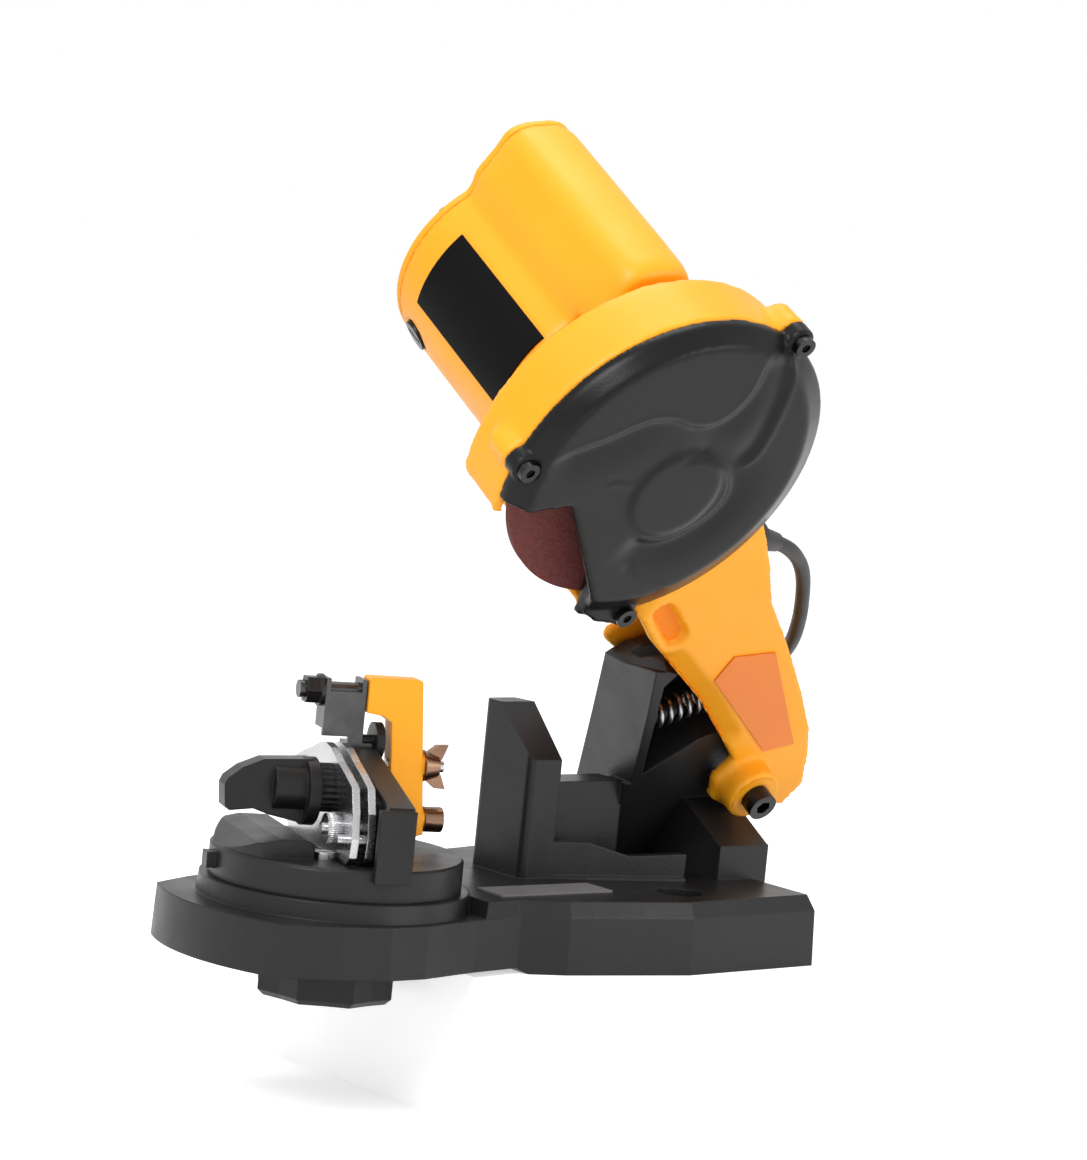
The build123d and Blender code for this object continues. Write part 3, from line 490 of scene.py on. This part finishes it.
# ribs and hollows of the cover, in millimetres from the wheel's axis
coverShell = {
    "voxel": 0.00075, "passes": 4, "settle": 4,
    "rim": (3.6, 4.6), "face": (8.5, 10.0), "facing": (0.25, 0.6),
    "taper": 0.12,  # share of a rib's length at either end
    "crisp": 0.8,  # width of the hollow on the rib's other side
    "lines": [
        {"lift": 0.9, "width": 1.2, "sink": 1.3, "fall": 10.0, "points": [
            (-58, 6), (-48, 12.5), (-37, 18), (-24, 25.5), (-14, 26.7), (-5, 24.6), (3, 25.2), (9, 30),
            (12.6, 38), (12.6, 47), (10.6, 58)]},
        {"lift": 1.1, "width": 1.8, "sink": 1.4, "fall": 6.0, "points": [
            (21, 57), (26, 43), (28, 29), (28, 14), (23.5, 7)]},
        {"lift": 0.9, "width": 1.3, "sink": 1.9, "fall": 9.0, "points": [
            (-6.6, -20.7), (1.7, -24), (11, -23), (19.7, -17), (25.3, -9), (25.7, -1), (20.4, 7), (12, 11),
            (4, 12), (-1, 8.6)]},
        {"lift": 0.6, "width": 1.2, "sink": 0.5, "fall": 4.0, "points": [
            (0, -32), (8, -39), (17, -42.6), (23.5, -43)]},
        {"lift": 0.5, "width": 1.0, "sink": 0.3, "fall": 3.0, "points": [
            (-16, -0.7), (-22.7, 0.3), (-28, -0.7)]},
    ],
}


def rounded(line, steps=6):
    # Catmull-Rom curve through the points
    full = [line[0], *line, line[-1]]
    curve = []
    for k in range(len(line) - 1):
        p0, p1, p2, p3 = (np.array(p, float) for p in full[k:k + 4])
        for i in range(steps):
            t = i / steps
            curve.append(tuple(0.5 * (2 * p1 + (p2 - p0) * t + (2 * p0 - 5 * p1 + 4 * p2 - p3) * t ** 2
                                      + (3 * p1 - p0 - 3 * p2 + p3) * t ** 3)))
    return curve + [line[-1]]


def coverRelief(x, y, v):
    height = np.zeros(len(x))
    for line in v["lines"]:
        distance, side, along = lineDistance(x, y, rounded(line["points"]))
        ends = smoothStep(along, 0.0, v["taper"]) * smoothStep(1 - along, 0.0, v["taper"])
        fall = np.where(side < 0, line["fall"], v["crisp"])
        height += line["lift"] * np.exp(-(distance / line["width"]) ** 2) * ends
        height -= line["sink"] * np.exp(-(distance / fall) ** 2) * ends
    return height


def makeCoverShell(v):
    obj, edges, points = evenCopy("coverShell", "guard_cover", v["voxel"])
    x, y, z = inHead(points)
    points = relaxed(points, edges, v["passes"], smoothStep(z, *v["rim"]))
    writePoints(obj, points)
    x, y, z = inHead(points)
    facing = smoothStep(readNormals(obj.data) @ outHead, *v["facing"]) * smoothStep(z, *v["face"])
    height = coverRelief(x - wheelCentre[0], y - wheelCentre[1], v)
    points += np.outer(height * facing, outHead) * millimetre
    writePoints(obj, relaxed(points, edges, v["settle"], facing))
    standFor(obj, "head", "guard_cover")


makeCoverShell(coverShell)
print("cover shell")


# return spring, a round wire wound by Geometry Nodes
returnSpring = {"seat": (-43.2, 14.0, -13.0), "end": (3.0, 33.5, -13.0), "coilRadius": 4.25,
                "wireRadius": 0.95, "turns": 13.0, "turnSteps": 28, "wireSides": 12, "shortest": 0.71}


class NodeTree:  # a Geometry Nodes tree with named inputs
    def __init__(self, name, inputs):
        self.tree = bpy.data.node_groups.new(name, "GeometryNodeTree")
        self.sockets = {}
        for key in inputs:
            kind = "NodeSocketInt" if isinstance(inputs[key], int) else "NodeSocketFloat"
            self.sockets[key] = self.tree.interface.new_socket(key, in_out="INPUT", socket_type=kind)
        self.tree.interface.new_socket("Geometry", in_out="OUTPUT", socket_type="NodeSocketGeometry")
        self.given = self.tree.nodes.new("NodeGroupInput")
        self.result = self.tree.nodes.new("NodeGroupOutput")
        self.values = inputs

    def add(self, kind, **settings):
        node = self.tree.nodes.new(kind)
        for key, value in settings.items():
            setattr(node, key, value)
        return node

    def link(self, source, target):
        self.tree.links.new(source, target)

    def finish(self, geometry, material):
        real = self.add("GeometryNodeRealizeInstances")
        paint = self.add("GeometryNodeSetMaterial")
        paint.inputs["Material"].default_value = material
        self.link(geometry, real.inputs["Geometry"])
        self.link(real.outputs["Geometry"], paint.inputs["Geometry"])
        self.link(paint.outputs["Geometry"], self.result.inputs["Geometry"])

    def build(self, name, place):
        obj = addObject(name, bpy.data.meshes.new(name))
        modifier = obj.modifiers.new("nodes", "NODES")
        modifier.node_group = self.tree
        for key, value in self.values.items():
            modifier[self.sockets[key].identifier] = value
        mesh = asMesh(obj)
        mesh.transform(place)
        smoothShaded(mesh)
        mesh.update()
        return obj


def placeAlong(start, end):
    turn = (Vector(end) - Vector(start)).to_track_quat("Z", "Y").to_matrix().to_4x4()
    return Matrix.Translation(Vector(start)) @ turn


def makeSpring(v):
    seat, end = headPoint(*v["seat"]), headPoint(*v["end"])
    inputs = {"coilRadius": v["coilRadius"] * millimetre, "wireRadius": v["wireRadius"] * millimetre,
              "turns": v["turns"], "height": (end - seat).length}
    t = NodeTree("woundSpring", inputs)
    spiral = t.add("GeometryNodeCurveSpiral")
    spiral.inputs["Resolution"].default_value = v["turnSteps"]
    t.link(t.given.outputs["coilRadius"], spiral.inputs["Start Radius"])
    t.link(t.given.outputs["coilRadius"], spiral.inputs["End Radius"])
    t.link(t.given.outputs["turns"], spiral.inputs["Rotations"])
    t.link(t.given.outputs["height"], spiral.inputs["Height"])
    wire = t.add("GeometryNodeCurvePrimitiveCircle")
    wire.inputs["Resolution"].default_value = v["wireSides"]
    t.link(t.given.outputs["wireRadius"], wire.inputs["Radius"])
    sweep = t.add("GeometryNodeCurveToMesh")
    sweep.inputs["Fill Caps"].default_value = True
    t.link(spiral.outputs["Curve"], sweep.inputs["Curve"])
    t.link(wire.outputs["Curve"], sweep.inputs["Profile Curve"])
    t.finish(sweep.outputs["Mesh"], springSteel)
    obj = t.build("woundSpring", placeAlong(seat, end))
    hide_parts("return_spring")
    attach(obj, "base")
    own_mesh(obj)


makeSpring(returnSpring)


# knurl of the rail adjuster, ribs set round a ring
adjusterKnurl = {"left": -12.4, "right": -7.7, "c": -24.0, "z": 47.6, "radius": 4.75, "ribs": 40,
                 "ribRadius": 0.3, "ribSides": 8}
viseTurn = math.radians(-20)  # the vise at rest


def visePoint(q, c, z):
    # millimetres across the rails, along them and up
    x = q * math.cos(viseTurn) - c * math.sin(viseTurn)
    y = q * math.sin(viseTurn) + c * math.cos(viseTurn)
    return Vector((x * millimetre - boltX, y * millimetre, z * millimetre))


def makeKnurl(v):
    left, right = (visePoint(v[end], v["c"], v["z"]) for end in ("left", "right"))
    t = NodeTree("adjusterKnurl", {"count": v["ribs"], "radius": v["radius"] * millimetre,
                                   "ribLength": (right - left).length,
                                   "ribRadius": v["ribRadius"] * millimetre})
    ring = t.add("GeometryNodeMeshCircle")
    t.link(t.given.outputs["count"], ring.inputs["Vertices"])
    t.link(t.given.outputs["radius"], ring.inputs["Radius"])
    rib = t.add("GeometryNodeMeshCylinder")
    rib.inputs["Vertices"].default_value = v["ribSides"]
    t.link(t.given.outputs["ribRadius"], rib.inputs["Radius"])
    t.link(t.given.outputs["ribLength"], rib.inputs["Depth"])
    spread = t.add("GeometryNodeInstanceOnPoints")
    t.link(ring.outputs["Mesh"], spread.inputs["Points"])
    t.link(rib.outputs["Mesh"], spread.inputs["Instance"])
    t.finish(spread.outputs["Instances"], steel)
    obj = t.build("adjusterKnurl", placeAlong(left.lerp(right, 0.5), right))
    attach(obj, "rail_adjuster")


makeKnurl(adjusterKnurl)
print("spring and knurl")


# cord, one line from the head's sleeve down to the coil behind the base and out to the plug
cordRoute = {
    "radius": 2.7,
    "lead": [(-34.74, 97.9, -10.65), (-25.23, 95.36, -12.1), (-13.0, 88.5, -14.0), (-2.6, 79.0, -16.4),
             (7.0, 66.0, -19.2), (16.5, 51.0, -22.5), (25.0, 36.0, -27.5)],
    "drop": [(204.0, 13.0, 98.5), (208.4, 23.0, 83.9), (211.5, 30.0, 73.7), (212.0, 36.5, 60.0),
             (210.6, 36.7, 44.9), (204.6, 35.2, 33.1), (197.0, 39.0, 22.4), (188.1, 46.5, 15.7),
             (180.2, 56.6, 13.55)],
    "coilCentre": (212.0, 78.0), "coilStart": 214.0, "coilOuter": 38.3, "spacing": 5.4, "turnsWide": 4,
    "lie": 2.75,
    # degrees of a turn over which the strand moves to the next ring or layer
    "arrive": (0, 60), "inwards": (200, 360), "down": (125, 200), "outwards": (0, 125), "leave": (5, 60),
    "tail": [(181.1, 112.0, 2.75), (191.3, 120.0, 3.95), (203.8, 125.2, 5.6), (217.0, 126.6, 7.05),
             (229.0, 126.6, 7.05)],
    "step": 15, "curveSteps": 5, "roundSteps": 4,
}


def coilPoint(v, turned):
    # the strand winds inwards on top, drops to the bench at the middle and winds outwards again
    wide, gap = v["turnsWide"], v["spacing"]
    turn, part = divmod(turned, 360.0)
    low, high = v["lie"], v["lie"] + gap
    inner = v["coilOuter"] - gap * (wide - 1)
    if turned < 360 * wide:
        radius = v["coilOuter"] - gap * turn
        height = high
        if turn < wide - 1:
            radius -= gap * smoothStep(part, *v["inwards"])
        else:
            height -= gap * smoothStep(part, *v["down"])
        if turn == 0:
            height += gap * (1 - smoothStep(part, *v["arrive"]))
    else:
        bottom = turn - wide
        radius = inner + gap * bottom + gap * smoothStep(part, *v["outwards"])
        height = low
        if bottom >= wide - 1:
            radius = v["coilOuter"] + gap * smoothStep(part, *v["leave"])
    angle = math.radians(v["coilStart"] - turned)
    wider = radius / (0.75 + 0.25 * math.cos(math.radians(v["step"])))  # the curve runs inside its corners
    x, y = v["coilCentre"]
    return x + wider * math.cos(angle), y + wider * math.sin(angle), height


def inFrame(points):
    return [Vector((x * millimetre - boltX, y * millimetre, z * millimetre)) for x, y, z in points]


def meshNow(obj):
    bpy.context.view_layer.update()
    return bpy.data.meshes.new_from_object(obj.evaluated_get(bpy.context.evaluated_depsgraph_get()))


def makeCord(v):
    fullTurns = 2 * v["turnsWide"] - 1
    lastTurn = 360 * fullTurns + v["leave"][1]
    coil = [coilPoint(v, turned) for turned in range(v["step"], lastTurn + 1, v["step"])]
    points = [headPoint(*p) for p in v["lead"]] + inFrame(v["drop"] + coil + v["tail"])
    data = bpy.data.curves.new("cordLine", "CURVE")
    data.dimensions = "3D"
    data.resolution_u = v["curveSteps"]
    line = data.splines.new("NURBS")
    line.points.add(len(points) - 1)
    for spot, p in zip(line.points, points):
        spot.co = (*p, 1.0)
    line.order_u = 3
    line.use_endpoint_u = True
    obj = addObject("cordLine", data)
    path = [tuple(p) for p in readPoints(meshNow(obj))]
    data.bevel_depth = v["radius"] * millimetre
    data.bevel_resolution = v["roundSteps"]
    data.use_fill_caps = True
    tube = meshNow(obj)
    bpy.data.objects.remove(obj)
    tube.materials.clear()
    tube.materials.append(rubber)
    cord = addObject("cordAndCoil", tube)
    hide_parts("cord_lead", "cord", "cord_coil", "cord_tail")
    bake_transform(cord)


makeCord(cordRoute)
print("cord")


# light: soft on all sides and three lamps, with white where the surroundings are seen
studio = {"soft": 0.55, "white": 1.0}
lamps = {
    "keyLight": {"place": (-1.3, -0.6, 1.3), "target": (-0.05, -0.05, 0.12), "size": 0.9, "power": 21},
    "fillLight": {"place": (0.6, -1.5, 0.5), "target": (-0.02, -0.05, 0.12), "size": 1.0, "power": 9},
    "topLight": {"place": (0.1, 0.3, 1.5), "target": (0, 0, 0.1), "size": 0.8, "power": 8},
}


def directlySeen(tree):
    # 1 for what the camera sees, also in a mirror or through glass
    path = tree.nodes.new("ShaderNodeLightPath")
    seen = path.outputs["Is Camera Ray"]
    for kind in ("Is Glossy Ray", "Is Transmission Ray"):
        either = tree.nodes.new("ShaderNodeMath")
        either.operation = "MAXIMUM"
        tree.links.new(seen, either.inputs[0])
        tree.links.new(path.outputs[kind], either.inputs[1])
        seen = either.outputs[0]
    return seen


def makeWorld(v):
    world = bpy.data.worlds.new("studio")
    world.use_nodes = True
    tree = world.node_tree
    tree.nodes.clear()
    mix = tree.nodes.new("ShaderNodeMixShader")
    tree.links.new(directlySeen(tree), mix.inputs[0])
    for socket, strength in ((1, v["soft"]), (2, v["white"])):
        sky = tree.nodes.new("ShaderNodeBackground")
        sky.inputs["Color"].default_value = (1, 1, 1, 1)
        sky.inputs["Strength"].default_value = strength
        tree.links.new(sky.outputs[0], mix.inputs[socket])
    out = tree.nodes.new("ShaderNodeOutputWorld")
    tree.links.new(mix.outputs[0], out.inputs["Surface"])
    bpy.context.scene.world = world


def areaLight(name, v):
    data = bpy.data.lights.new(name, "AREA")
    data.shape = "DISK"
    data.size = v["size"]
    data.energy = v["power"]
    lamp = addObject(name, data)
    lamp.location = v["place"]
    lamp.rotation_euler = (Vector(v["target"]) - Vector(v["place"])).to_track_quat("-Z", "Y").to_euler()


makeWorld(studio)
for name, lamp in lamps.items():
    areaLight(name, lamp)

# bench top under the base, ending short of the lock knob, and the floor below it, in metres
bench = {"half": 3.0, "edge": -0.092, "drop": -0.05, "glow": 0.55, "cloud": 3.0,
         "dark": (0.82, 0.82, 0.82), "light": (0.86, 0.86, 0.86)}


def paleBench(v):
    s = Shader("paleBench")
    matt = s.add("BsdfDiffuse")
    s.link(s.mix(s.spread(s.noise(v["cloud"])), v["dark"], v["light"]), matt.inputs["Color"])
    glow = s.add("Emission")
    glow.inputs["Strength"].default_value = v["glow"]
    lit = s.add("AddShader")
    s.link(matt.outputs[0], lit.inputs[0])
    s.link(glow.outputs[0], lit.inputs[1])
    choose = s.add("MixShader")
    s.link(directlySeen(s.tree), choose.inputs[0])
    s.link(matt.outputs[0], choose.inputs[1])
    s.link(lit.outputs[0], choose.inputs[2])
    s.link(choose.outputs[0], s.out.inputs["Surface"])
    return s.material


def makeBench(v):
    half, edge, drop = v["half"], v["edge"], v["drop"]
    corners = [(edge, -half, 0), (half, -half, 0), (half, half, 0), (edge, half, 0),
               (edge, -half, drop), (edge, half, drop), (-half, -half, drop), (-half, half, drop)]
    mesh = bpy.data.meshes.new("bench")
    mesh.from_pydata(corners, [], [(0, 1, 2, 3), (4, 0, 3, 5), (6, 4, 5, 7)])
    mesh.materials.append(paleBench(v))
    obj = addObject("bench", mesh)


makeBench(bench)

bpy.context.scene.view_settings.view_transform = "Standard"
print("light")
